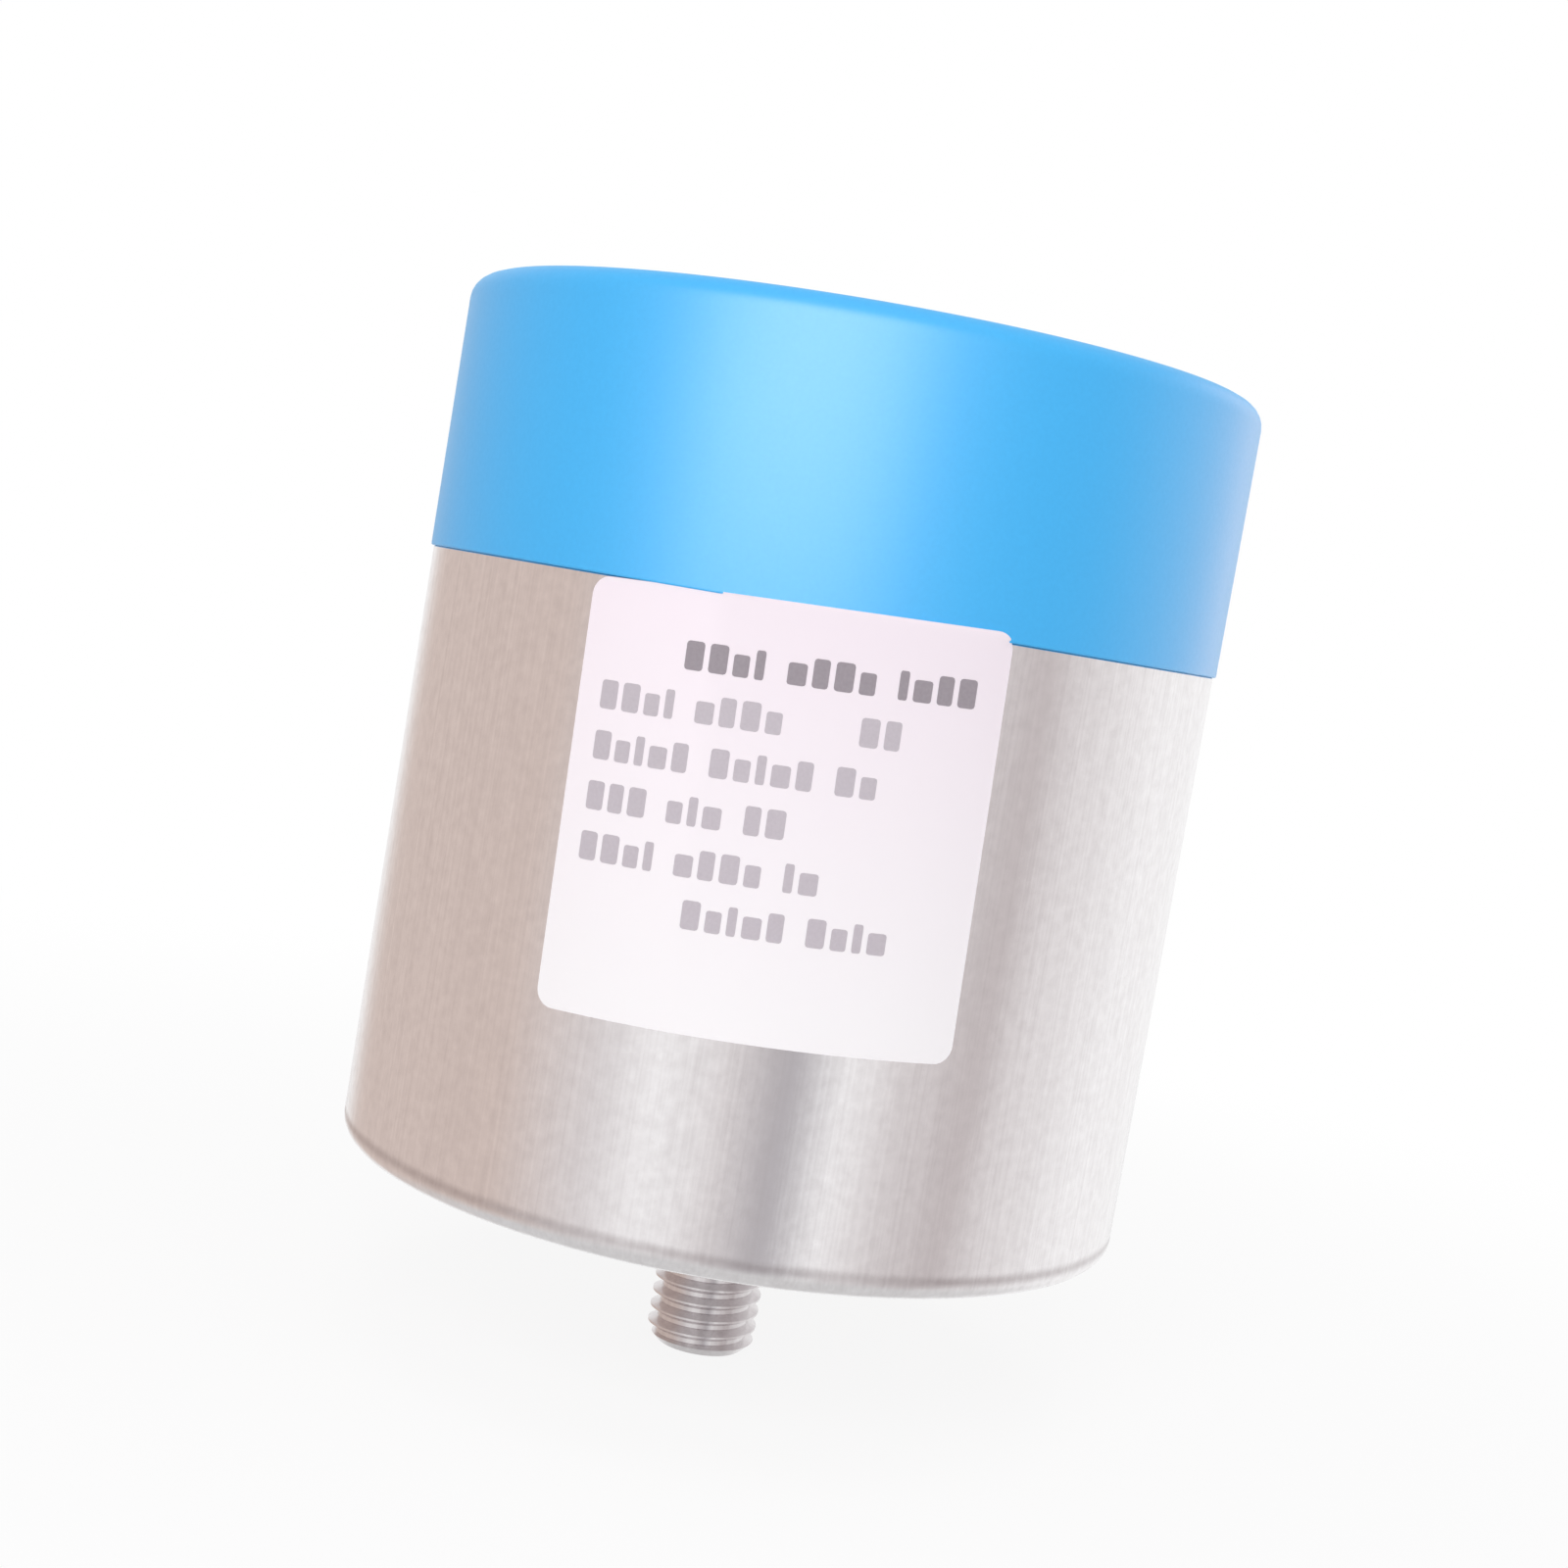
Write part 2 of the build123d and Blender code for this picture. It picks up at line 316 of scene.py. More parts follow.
def threaded_rod(name: str, thread: Thread, low: float, high: float, centre: Place) -> Piece:
    """Make a closed rod with a helical thread over its whole length.

    Args:
        name: the new object's name.
        thread: the thread's form.
        low: the rod's lower end, in millimetres.
        high: its upper end.
        centre: place of its axis.

    Returns:
        The new object.
    """
    clear_selection()
    start = (low - LEAD_IN * thread.pitch) * MM
    bpy.ops.mesh.primitive_plane_add(size=MM, location=(thread.root * MM, 0, start))
    rod = bpy.context.object
    rod.name = name
    settle()
    bpy.ops.object.mode_set(mode="EDIT")
    bpy.ops.mesh.select_all(action="SELECT")
    bpy.ops.mesh.merge(type="CENTER")
    depth = thread.crest - thread.root
    flank = depth * math.tan(math.radians(thread.flank_angle))
    crest_flat = thread.pitch * thread.crest_share
    root_flat = thread.pitch - crest_flat - 2.0 * flank
    for outwards, along in ((0, root_flat), (depth, flank), (0, crest_flat), (-depth, flank)):
        move = {"value": (outwards * MM, 0, along * MM)}
        bpy.ops.mesh.extrude_region_move(TRANSFORM_OT_translate=move)
    bpy.ops.object.mode_set(mode="OBJECT")
    step = rod.modifiers.new("thread", "SCREW")
    step.axis = "Z"
    step.angle = FULL_TURN
    step.screw_offset = thread.pitch * MM
    step.iterations = math.ceil((high - low) / thread.pitch + 2.0 * LEAD_IN)
    step.steps = step.render_steps = thread.segments
    bpy.ops.object.modifier_apply(modifier=step.name)
    bpy.ops.object.mode_set(mode="EDIT")
    face_outwards()
    bpy.ops.object.mode_set(mode="OBJECT")
    slice_off(rod, Vector((0, 0, low * MM)), Vector((0, 0, -1)))
    slice_off(rod, Vector((0, 0, high * MM)), Vector((0, 0, 1)))
    activate(rod, edit=True)
    face_outwards()
    bpy.ops.transform.translate(value=(centre[0] * MM, centre[1] * MM, 0))
    bpy.ops.object.mode_set(mode="OBJECT")
    return rod


def axis_of(low: Vector, high: Vector) -> Place:
    """Return the place of the upright axis of a box given in metres, in millimetres."""
    return (low.x + high.x) * 0.5 / MM, (low.y + high.y) * 0.5 / MM


def sheet(name: str, width: float, height: float, corner: float, steps: int) -> Piece:
    """Make a flat upright sheet with rounded corners, centred on the origin.

    Args:
        name: the new object's name.
        width: size along X, in millimetres.
        height: size along Z.
        corner: radius of the corners.
        steps: how many edges each corner has.

    Returns:
        The new object, which faces -Y.
    """
    clear_selection()
    bpy.ops.mesh.primitive_plane_add(size=MM, rotation=(math.pi / 2, 0, 0))
    piece = bpy.context.object
    piece.name = name
    settle()
    bpy.ops.object.mode_set(mode="EDIT")
    bpy.ops.mesh.select_all(action="SELECT")
    bpy.ops.transform.resize(value=(width, 1.0, height), center_override=(0, 0, 0))
    bpy.ops.mesh.bevel(offset=corner * MM, segments=steps, affect="VERTICES")
    bpy.ops.object.mode_set(mode="OBJECT")
    return piece


def thicken(piece: Piece, inner: float, outer: float) -> None:
    """Give a flat upright sheet its thickness, towards -Y.

    Args:
        piece: the sheet, which lies in the plane of X and Z.
        inner: how far its back lies in front of that plane, in millimetres.
        outer: how far its face does.
    """
    activate(piece, edit=True)
    bpy.ops.mesh.select_all(action="SELECT")
    bpy.ops.transform.translate(value=(0, -inner * MM, 0))
    thickness = {"value": (0, -(outer - inner) * MM, 0)}
    bpy.ops.mesh.extrude_region_move(TRANSFORM_OT_translate=thickness)
    face_outwards()
    bpy.ops.object.mode_set(mode="OBJECT")


def wrap(piece: Piece, radius: float, height: float) -> None:
    """Wrap a flat upright piece round the can's axis.

    Args:
        piece: the piece, whose back lies at the plane of X and Z.
        radius: radius that this plane takes, in millimetres.
        height: how far the piece is lifted afterwards.
    """
    activate(piece)
    places = [vert.co.x for vert in piece.data.vertices]
    step = piece.modifiers.new("wrap", "SIMPLE_DEFORM")
    step.deform_method = "BEND"
    step.deform_axis = "Z"
    step.angle = (max(places) - min(places)) / (radius * MM)
    bpy.ops.object.modifier_apply(modifier=step.name)
    bpy.ops.object.mode_set(mode="EDIT")
    bpy.ops.mesh.select_all(action="SELECT")
    bpy.ops.transform.translate(value=(0, -radius * MM, height * MM))
    bpy.ops.object.mode_set(mode="OBJECT")


# ---------------------------------------------------------------- finishes


def linear(colour: str) -> tuple[float, float, float, float]:
    """Turn an sRGB colour such as "#2FA4F0" into a linear one.

    Args:
        colour: the colour as six hexadecimal digits after a hash.

    Returns:
        Red, green, blue and an alpha of 1.
    """
    shares = [int(colour[start : start + 2], 16) / 255.0 for start in (1, 3, 5)]
    values = [s / 12.92 if s <= 0.04045 else ((s + 0.055) / 1.055) ** 2.4 for s in shares]
    return values[0], values[1], values[2], 1.0


def add_node(
    tree: Tree,
    kind: str,
    settings: dict[str, Any] | None = None,
    inputs: dict[str | int, Any] | None = None,
) -> bpy.types.Node:
    """Add one node with its settings and its links.

    Args:
        tree: the node tree.
        kind: the node's type.
        settings: values of the node's own properties.
        inputs: for each input a value, or the output that is linked to it.

    Returns:
        The new node.
    """
    node = tree.nodes.new(kind)
    for key, value in (settings or {}).items():
        setattr(node, key, value)
    for key, value in (inputs or {}).items():
        if isinstance(value, Socket):
            tree.links.new(value, node.inputs[key])
        else:
            node.inputs[key].default_value = value
    return node


@dataclass(frozen=True)
class Finish:
    """A surface with an even grain: two shades of one colour, and a bump.

    Attributes:
        name: the material and how its surface was made.
        colour: the lighter shade.
        shade: the darker one.
        roughness: at the middle of the grain.
        metallic: 1 for a metal.
        grain: size of the grain in millimetres, along X, Y and Z.
        relief: height of the bump in millimetres.
        roughness_spread: how far the roughness goes up and down with the grain.
        anisotropy: how much wider the gloss is across the grain.
        coat: weight of a clear layer.
        clear: how much light goes through.
    """

    name: str
    colour: str
    shade: str
    roughness: float
    metallic: float = 0.0
    grain: Size = (0.5, 0.5, 0.5)
    relief: float = 0.01
    roughness_spread: float = 0.1
    anisotropy: float = 0.0
    coat: float = 0.0
    clear: float = 0.0

    def pattern(self, tree: Tree, place: Socket) -> tuple[Socket, Socket]:
        """Make the nodes of the grain.

        Args:
            tree: the material's node tree.
            place: the piece's Object coordinates.

        Returns:
            How light the colour is, and how high the surface is, from 0 to 1.
        """
        noise = self.noise(tree, place, self.grain, detail=3.0)
        return noise, noise

    @staticmethod
    def noise(tree: Tree, place: Socket, grain: Size, detail: float) -> Socket:
        """Make a noise whose grain has a real size.

        Args:
            tree: the material's node tree.
            place: the coordinates it follows.
            grain: size of the grain in millimetres, along X, Y and Z.
            detail: how many finer layers it has.

        Returns:
            The noise, about 0.5 on average.
        """
        scale = tuple(1.0 / (size * MM) for size in grain)
        mapping = add_node(tree, "ShaderNodeMapping", inputs={"Vector": place, "Scale": scale})
        settings = {"Vector": mapping.outputs[0], "Scale": 1.0, "Detail": detail}
        return add_node(tree, "ShaderNodeTexNoise", inputs=settings).outputs[0]

    def material(self) -> bpy.types.Material:
        """Make the material, or return the one that was made before."""
        made = bpy.data.materials.get(self.name)
        if made is not None:
            return made
        made = bpy.data.materials.new(self.name)
        made.use_nodes = True
        tree = made.node_tree
        tree.nodes.clear()
        place = add_node(tree, "ShaderNodeTexCoord").outputs["Object"]
        lightness, height = self.pattern(tree, place)
        unclamped = {**COLOURS, "clamp_factor": False}
        shades = {0: lightness, 6: linear(self.shade), 7: linear(self.colour)}
        colour = add_node(tree, "ShaderNodeMix", unclamped, shades)
        roughness = add_node(
            tree,
            "ShaderNodeMapRange",
            inputs={
                "Value": lightness,
                "To Min": self.roughness + self.roughness_spread,
                "To Max": self.roughness - self.roughness_spread,
            },
        )
        raised = {"Height": height, "Distance": self.relief * MM, "Strength": 1.0}
        bump = add_node(tree, "ShaderNodeBump", inputs=raised)
        shader = add_node(
            tree,
            "ShaderNodeBsdfPrincipled",
            inputs={
                "Base Color": colour.outputs[2],
                "Metallic": self.metallic,
                "Roughness": roughness.outputs[0],
                "Anisotropic": self.anisotropy,
                "Coat Weight": self.coat,
                "Transmission Weight": self.clear,
                "Normal": bump.outputs[0],
            },
        )
        add_node(tree, "ShaderNodeOutputMaterial", inputs={"Surface": shader.outputs[0]})
        return made


NOISE_SPAN = (0.25, 0.75)  # values that nearly all of a noise lies between
WAVE_FACTOR = 20.0  # radians that the Wave node adds to each unit of its scale


@dataclass(frozen=True)
class DrawnAluminium(Finish):
    """Aluminium drawn through a ring: fine streaks along the axis over a mottled grain.

    Attributes:
        mottle: size of the mottled grain in millimetres.
        mottle_share: how much of the pattern is the mottled grain.
        wave: width of the shallow waves that the drawing leaves, in millimetres.
        wave_length: their length along the axis.
        wave_relief: their height.
        painted_reflection_height: level of the painted dark reflection, a thin dark line along the
            base.
        painted_reflection_width: its width, soft edges included.
        painted_reflection_darkness: how far it goes below the darker shade.
        stud_darkness: how much darker, and a little rougher, the stud is coloured below the base.
        mottle_relief: height of the mottled grain in millimetres.
    """

    mottle: float = 1.2
    mottle_share: float = 0.35
    wave: float = 8.0
    wave_length: float = 45.0
    wave_relief: float = 0.05
    painted_reflection_height: float = 2.2
    painted_reflection_width: float = 1.8
    painted_reflection_darkness: float = 0.85
    stud_darkness: float = 0.55
    mottle_relief: float = 0.009

    def pattern(self, tree: Tree, place: Socket) -> tuple[Socket, Socket]:
        """Make the streaks, the mottled grain, the waves, the painted dark reflection line and the
        darker stud.

        Args:
            tree: the material's node tree.
            place: the piece's Object coordinates.

        Returns:
            How light the colour is, and how high the surface is.
        """
        streaks = self.noise(tree, place, self.grain, detail=4.0)
        mottle = self.noise(tree, place, (self.mottle,) * 3, detail=3.0)
        waves = self.noise(tree, place, (self.wave, self.wave, self.wave_length), detail=1.0)
        low, high = NOISE_SPAN
        spread = {"Value": mottle, "From Min": low, "From Max": high}
        blotches = add_node(tree, "ShaderNodeMapRange", inputs=spread).outputs[0]
        mixed = {0: self.mottle_share, 2: streaks, 3: blotches}
        grain = add_node(tree, "ShaderNodeMix", NUMBERS, mixed).outputs[0]
        along = add_node(tree, "ShaderNodeSeparateXYZ", inputs={0: place}).outputs[2]
        # painted reflection: a thin dark line along the base, darker than the metal's own shades
        from_painted_reflection = {0: along, 1: self.painted_reflection_height * MM}
        offset = add_node(tree, "ShaderNodeMath", SUBTRACT, from_painted_reflection).outputs[0]
        distance = add_node(tree, "ShaderNodeMath", {"operation": "ABSOLUTE"}, {0: offset})
        # the painted dark reflection line along the base
        line = add_node(
            tree,
            "ShaderNodeMapRange",
            SMOOTH,
            {
                "Value": distance.outputs[0],
                "From Max": 0.5 * self.painted_reflection_width * MM,
                "To Min": self.painted_reflection_darkness,
                "To Max": 0.0,
            },
        )
        # the stud, below the base, is coloured darker and a little rougher than the can
        below_base = {"Value": along, "From Min": 0.0, "From Max": -MM, "To Max": self.stud_darkness}
        darker_below_base = add_node(tree, "ShaderNodeMapRange", inputs=below_base)
        both = {0: line.outputs[0], 1: darker_below_base.outputs[0]}
        darker = add_node(tree, "ShaderNodeMath", ADD, both).outputs[0]
        lightness = add_node(tree, "ShaderNodeMath", SUBTRACT, {0: grain, 1: darker})
        mottled = {0: mottle, 1: self.mottle_relief / self.relief, 2: streaks}
        bumps = add_node(tree, "ShaderNodeMath", MULTIPLY_ADD, mottled).outputs[0]
        waved = {0: waves, 1: self.wave_relief / self.relief, 2: bumps}
        height = add_node(tree, "ShaderNodeMath", MULTIPLY_ADD, waved)
        return lightness.outputs[0], height.outputs[0]


@dataclass(frozen=True)
class LabelFilm(Finish):
    """White self-adhesive film with painted shade: a pinker, darker top that fades downwards.

    Attributes:
        low: level where the painted shade is gone, in millimetres.
        high: level where it is strongest.
    """

    low: float = 25.0
    high: float = 62.0

    def pattern(self, tree: Tree, place: Socket) -> tuple[Socket, Socket]:
        """Make the fading painted shade and the film's fine texture.

        Args:
            tree: the material's node tree.
            place: the piece's Object coordinates.

        Returns:
            How light the colour is, and how high the surface is.
        """
        # painted shade: the label is coloured pinker and darker towards its top
        along = add_node(tree, "ShaderNodeSeparateXYZ", inputs={0: place}).outputs[2]
        span = {"Value": along, "From Min": self.high * MM, "From Max": self.low * MM}
        fade = add_node(tree, "ShaderNodeMapRange", inputs=span)
        return fade.outputs[0], self.noise(tree, place, self.grain, detail=2.0)


@dataclass(frozen=True)
class RingedFinish(Finish):
    """A surface with rings round the can's axis, such as the edges of a wound film.

    Attributes:
        ring_pitch: distance from ring to ring, in millimetres.
        ring_wobble: how far the rings stray from round.
        grain_share: how much of the pattern is the fine grain.
    """

    ring_pitch: float = 0.6
    ring_wobble: float = 0.4
    grain_share: float = 0.4

    def pattern(self, tree: Tree, place: Socket) -> tuple[Socket, Socket]:
        """Make the rings and a fine grain over them.

        Args:
            tree: the material's node tree.
            place: the piece's Object coordinates.

        Returns:
            How light the colour is, and how high the surface is.
        """
        ring_scale = FULL_TURN / (WAVE_FACTOR * self.ring_pitch * MM)
        rings = add_node(
            tree,
            "ShaderNodeTexWave",
            {"wave_type": "RINGS", "rings_direction": "Z"},
            {"Vector": place, "Scale": ring_scale, "Distortion": self.ring_wobble},
        ).outputs[1]
        grain = self.noise(tree, place, self.grain, detail=3.0)
        mixed = {0: self.grain_share, 2: rings, 3: grain}
        both = add_node(tree, "ShaderNodeMix", NUMBERS, mixed)
        return both.outputs[0], both.outputs[0]


# Deep-drawn aluminium, left as it leaves the press: silver with a warm cast, a satin
# gloss that spreads round the can, and streaks along it
# The metal also carries a painted dark reflection line along the base, and a darker stud.
CAN_ALUMINIUM = DrawnAluminium(
    "drawn_aluminium", "#FEFCFD", "#DEDADB", 0.16, 1.0, (0.35, 0.35, 45.0), 0.0014,
    roughness_spread=0.06, anisotropy=0.4,
)
# Glass-filled polyester, injection moulded: sky blue, satin, with a very fine spark texture
CAP_PLASTIC = Finish(
    "moulded_blue_polyester", "#40B8F8", "#3AAFF0", 0.42, 0.0, (0.45, 0.45, 0.45), 0.004,
    roughness_spread=0.04,
)
# Polyester film with an adhesive back: white, a soft sheen, and painted shade that turns it pinker
# towards the top
LABEL_FILM = LabelFilm(
    "white_polyester_film", "#F8F6F8", "#F7EDF5", 0.42, 0.0, (0.8, 0.8, 0.8), 0.003,
    roughness_spread=0.05,
)
# Thermal transfer ink: a thin grey layer, a little uneven
PRINT_INK = Finish(
    "transfer_ink_grey", "#C9C2C9", "#BBB3BB", 0.5, 0.0, (0.3, 0.3, 0.3), 0.002
)
# The same ink, printed twice as heavy
BOLD_INK = Finish(
    "transfer_ink_dark", "#A39BA2", "#928A91", 0.5, 0.0, (0.3, 0.3, 0.3), 0.002
)
# Brass with a matt tin plate: pale silver, faintly warm, soft gloss
TIN_PLATE = Finish(
    "tin_plated_brass", "#DAD8D2", "#C6C3BB", 0.3, 1.0, (0.25, 0.25, 0.25), 0.003
)
# Polyamide, injection moulded: off-white, slightly waxy
PLUG_PLASTIC = Finish(
    "moulded_white_polyamide", "#ECE8DD", "#E2DDD0", 0.42, 0.0, (0.5, 0.5, 0.5), 0.004
)
# Nitrile rubber, moulded: near-black and dull
SEAL_RUBBER = Finish(
    "moulded_nitrile_rubber", "#2B2B2D", "#1F1F21", 0.62, 0.0, (0.4, 0.4, 0.4), 0.008
)
# Metallised polypropylene film, wound: silvery, with the turns' edges as rings
WOUND_FILM = RingedFinish(
    "wound_metallised_film", "#C9CCD0", "#9FA3A9", 0.3, 0.7, (0.6, 0.6, 6.0), 0.01
)
# Plain polypropylene film, wound over the roll: milky and glossy
WRAP_FILM = Finish(
    "plain_polypropylene_film", "#E9E9E6", "#DCDCD8", 0.22, 0.0, (3.0, 3.0, 25.0), 0.02,
    clear=0.15,
)
# Polypropylene tube, extruded: natural white
CORE_PLASTIC = Finish(
    "extruded_polypropylene", "#E6E6E1", "#D8D8D2", 0.4, 0.0, (0.6, 0.6, 12.0), 0.006
)
# Zinc, flame sprayed on the film's edges: dull grey and gritty
SPRAYED_ZINC = Finish(
    "flame_sprayed_zinc", "#A9ADB0", "#7F8386", 0.62, 0.85, (0.45, 0.45, 0.45), 0.06
)
# Copper strip, dipped in tin: bright, with faint runs along it
TINNED_COPPER = Finish(
    "dipped_tinned_copper", "#D5D5D2", "#BDBCB6", 0.25, 1.0, (0.8, 0.8, 4.0), 0.006
)
# Polyester sleeve film: amber and glossy
SLEEVE_FILM = Finish(
    "amber_polyester_sleeve", "#C98B2F", "#B37622", 0.25, 0.0, (1.5, 1.5, 8.0), 0.006,
    clear=0.2,
)
# Solder, as it set: bright, smooth, with frosty grains
SOLDER = Finish("set_tin_solder", "#C4C5C4", "#9C9D9C", 0.22, 1.0, (0.5, 0.5, 0.5), 0.02)
# Pressed fibre board: brown-grey, matt, with fibres
INSULATING_BOARD = Finish(
    "pressed_fibre_board", "#B99B6E", "#A08359", 0.75, 0.0, (0.35, 2.5, 0.35), 0.02
)
# Polyurethane resin, poured and cured: dark amber, very glossy
POTTING_RESIN = Finish(
    "poured_polyurethane_resin", "#6B4A22", "#573A18", 0.12, 0.0, (6.0, 6.0, 6.0), 0.02,
    coat=0.3,
)


def hand_over(
    piece: Piece,
    finish: Finish,
    replaced: Sequence[str] = (),
    smooth_below: float = 32.0,
) -> Piece:
    """Finish a new piece: shading, material, body, slot and the nodes that it stands for.

    Args:
        piece: the finished mesh.
        finish: its surface.
        replaced: CAD nodes that it stands for.
        smooth_below: angle in degrees below which an edge is shaded smooth.

    Returns:
        The same piece.
    """
    activate(piece)
    settle()
    bpy.ops.object.shade_smooth_by_angle(angle=math.radians(smooth_below))
    piece.data.materials.clear()
    piece.data.materials.append(finish.material())
    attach(piece, BODY)
    if replaced:
        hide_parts(*replaced)
    triangles = sum(len(face.vertices) - 2 for face in piece.data.polygons)
    log.info("%s: %d triangles", piece.name, triangles)
    return piece


# ---------------------------------------------------------------- sub-assemblies


@dataclass
class CanWithStud:
    """The can, drawn in one piece with its threaded stud. Sizes in millimetres."""

    wall: float = 1.0
    floor: float = 3.0
    base_edge: float = 2.0
    rim_edge: float = 0.2
    draw_line: float = 2.35
    draw_line_width: float = 0.5
    draw_line_depth: float = 0.06
    neck_radius: float = 5.4
    neck_length: float = 3.0
    root_fillet: float = 0.8
    run_out: float = 0.6
    stud_chamfer: float = 1.2
    thread: Thread = Thread(crest=6.0, root=5.053, pitch=1.75)
    segments: int = 256
    overlap: float = 0.1
    thread_margin: float = 1.0

    def build(self) -> Piece:
        """Turn the can, cut the stud's thread, join the two and return the piece."""
        low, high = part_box("can")
        radius, rim, tip = high.x / MM, high.z / MM, low.z / MM
        line_half = 0.5 * self.draw_line_width
        can = turn(
            "can_with_stud",
            (
                Station(self.neck_radius, -self.neck_length - self.overlap),
                Station(self.neck_radius, 0.0, self.root_fillet),
                Station(radius, 0.0, self.base_edge),
                Station(radius, self.draw_line - line_half),
                Station(radius - self.draw_line_depth, self.draw_line),
                Station(radius, self.draw_line + line_half),
                Station(radius, rim, self.rim_edge),
                Station(radius - self.wall, rim),
                Station(radius - self.wall, self.floor),
            ),
            self.segments,
        )
        combine(can, self.stud(tip), Cut.JOIN)
        return hand_over(can, CAN_ALUMINIUM, ["can"])

    def stud(self, tip: float) -> Piece:
        """Cut the thread on the stud.

        Args:
            tip: level of the stud's end.

        Returns:
            The threaded rod, from inside the neck to its end.
        """
        crest = self.thread.crest
        inside = self.neck_radius - self.overlap
        start = -self.neck_length + self.overlap
        blank = turn(
            "stud_blank",
            (
                Station(crest - self.stud_chamfer, tip),
                Station(crest, tip + self.stud_chamfer),
                Station(crest, -self.neck_length - self.run_out),
                Station(inside, start),
                Station(inside, start + 2.0 * self.run_out),
            ),
            self.thread.segments,
        )
        low, high = tip - self.thread_margin, start + self.thread_margin
        rod = threaded_rod("stud_thread", self.thread, low, high, (0.0, 0.0))
        combine(rod, blank, Cut.KEEP_COMMON)
        return rod


@dataclass
class TerminalCap:
    """The moulded terminal cap. Sizes in millimetres."""

    top_edge: float = 2.4
    skirt_edge: float = 0.2
    rim_width: float = 5.0
    rim_inner_edge: float = 0.8
    recess: float = 3.0
    deck: float = 4.0
    deck_edge: float = 0.5
    spigot_edge: float = 0.3
    spigot_radius: float = 41.4
    spigot_wall: float = 2.9
    boss_radius: float = 12.962
    boss_edge: float = 0.8
    barrier_width: float = 2.0
    barrier_edge: float = 0.35
    barrier_drop: float = 0.04
    neck_hole: float = 8.1
    pocket_across_flats: float = 20.2
    fill_hole: float = 4.0
    seal_groove_radius: float = 39.9
    seal_groove_height: float = 59.4
    seal_groove_width: float = 2.4
    segments: int = 256
    boss_segments: int = 128
    bore_segments: int = 96
    edge_steps: int = 6
    barrier_steps: int = 4
    overlap: float = 0.4
    tool_margin: float = 1.0

    def build(self) -> Piece:
        """Mould the cap's body, bosses and barrier, cut its holes and return the piece."""
        low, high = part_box("top_cap")
        radius, top, foot = high.x / MM, high.z / MM, low.z / MM
        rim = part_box("can")[1].z / MM
        deck_top = top - self.recess
        deck_low = deck_top - self.deck
        bore = self.spigot_radius - self.spigot_wall
        recess_radius = radius - self.rim_width
        groove_low = self.seal_groove_height - 0.5 * self.seal_groove_width
        groove_high = self.seal_groove_height + 0.5 * self.seal_groove_width
        cap = turn(
            "terminal_cap",
            (
                Station(bore, deck_low, self.deck_edge),
                Station(bore, foot),
                Station(self.spigot_radius, foot, self.spigot_edge),
                Station(self.spigot_radius, groove_low),
                Station(self.seal_groove_radius, groove_low),
                Station(self.seal_groove_radius, groove_high),
                Station(self.spigot_radius, groove_high),
                Station(self.spigot_radius, rim),
                Station(radius, rim, self.skirt_edge),
                Station(radius, top, self.top_edge),
                Station(recess_radius, top, self.rim_inner_edge),
                Station(recess_radius, deck_top, self.deck_edge),
            ),
            self.segments,
            rounding_steps=self.edge_steps,
        )
        for node in ("terminal_left", "terminal_right"):
            place = axis_of(*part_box(node))
            combine(cap, self.boss(place, deck_top, top), Cut.JOIN)
        combine(cap, self.barrier(recess_radius, deck_top, top), Cut.JOIN)
        for node in ("terminal_left", "terminal_right"):
            place = axis_of(*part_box(node))
            combine(cap, self.bore(place, self.neck_hole, deck_low, top), Cut.REMOVE)
            combine(cap, self.pocket(place, deck_low), Cut.REMOVE)
        plug_place = axis_of(*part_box("fill_plug"))
        combine(cap, self.bore(plug_place, self.fill_hole, deck_low, top), Cut.REMOVE)
        return hand_over(cap, CAP_PLASTIC, ["top_cap"])

    def boss(self, place: Place, deck_top: float, top: float) -> Piece:
        """Return the raised disc round one terminal.

        Args:
            place: the terminal's axis.
            deck_top: level of the deck.
            top: level of the disc's face.
        """
        stations = (
            Station(self.boss_radius, deck_top - self.overlap),
            Station(self.boss_radius, top, self.boss_edge),
        )
        return turn("boss", stations, self.boss_segments, place)

    def barrier(self, recess_radius: float, deck_top: float, top: float) -> Piece:
        """Return the rib between the terminals.

        Args:
            recess_radius: radius of the recess that it crosses.
            deck_top: level of the deck.
            top: level of the rim.
        """
        clear_selection()
        low = deck_top - self.overlap
        high = top - self.barrier_drop
        middle = (0, 0, 0.5 * (low + high) * MM)
        bpy.ops.mesh.primitive_cube_add(size=MM, location=middle)
        rib = bpy.context.object
        settle()
        bpy.ops.object.mode_set(mode="EDIT")
        bpy.ops.mesh.select_all(action="SELECT")
        length = 2.0 * (recess_radius + self.rim_inner_edge + self.overlap)
        size = (self.barrier_width, length, high - low)
        bpy.ops.transform.resize(value=size, center_override=middle)

        def is_long_top_edge(edge: bmesh.types.BMEdge) -> bool:
            """Say whether an edge runs along the rib's top."""
            one, other = (vert.co for vert in edge.verts)
            return min(one.z, other.z) > high * MM - NEAR and abs(one.y - other.y) > MM

        pick(rib, Domain.EDGES, is_long_top_edge)
        offset, steps = self.barrier_edge * MM, self.barrier_steps
        bpy.ops.mesh.bevel(offset=offset, segments=steps, affect="EDGES")
        face_outwards()
        bpy.ops.object.mode_set(mode="OBJECT")
        return rib

    def bore(self, place: Place, radius: float, low: float, high: float) -> Piece:
        """Return the tool for a round hole right through the deck.

        Args:
            place: the hole's axis.
            radius: its radius.
            low: level of the deck's underside.
            high: level that it has to pass.
        """
        margin = self.tool_margin
        stations = (Station(radius, low - margin), Station(radius, high + margin))
        return turn("bore", stations, self.bore_segments, place)

